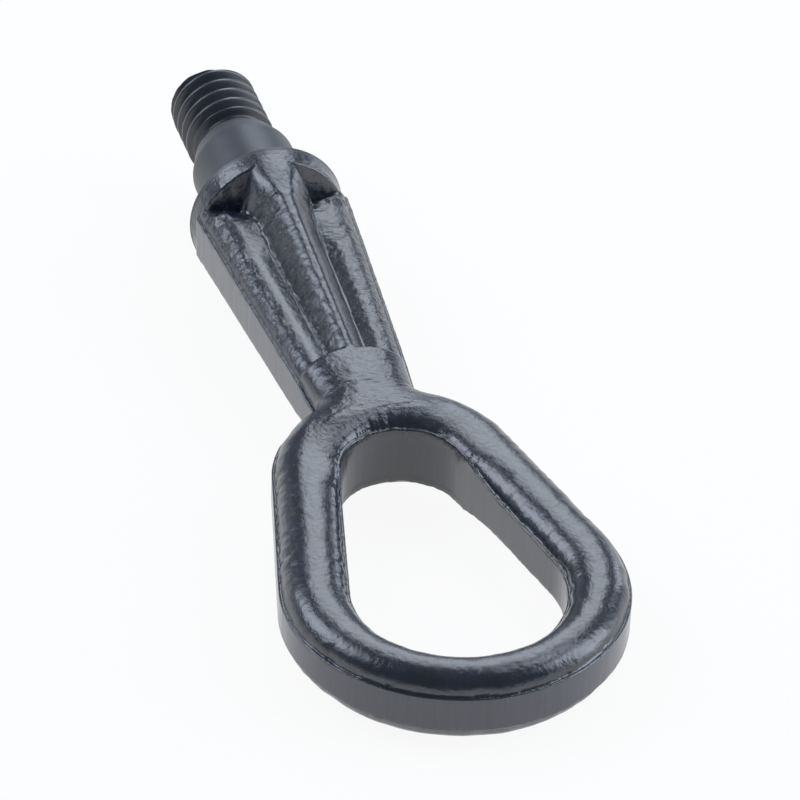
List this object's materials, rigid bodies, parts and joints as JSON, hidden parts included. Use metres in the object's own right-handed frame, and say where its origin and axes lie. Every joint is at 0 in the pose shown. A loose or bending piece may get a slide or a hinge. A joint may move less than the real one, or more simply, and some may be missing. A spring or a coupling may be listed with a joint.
{
  "type": "tow eye",
  "caption": "Forged screw-in tow eye: coarse threaded stud, plain guide collar, head disc, fluted tapering shank and a pear-shaped domed ring.",
  "frame": {"origin": "on the screw axis, in the shoulder face of the head disc that seats against the vehicle's socket", "axes": "+X along the screw axis from the stud towards the pulling ring, Y across the ring, +Z square to the ring's plane"},
  "size_m": [0.1787, 0.0562, 0.0281],
  "materials": {
    "coated_steel": "dark blue-black coat on forged steel, semi-gloss"
  },
  "bodies": {
    "root": {"tow_eye": "coated_steel"}
  },
  "joints": []
}
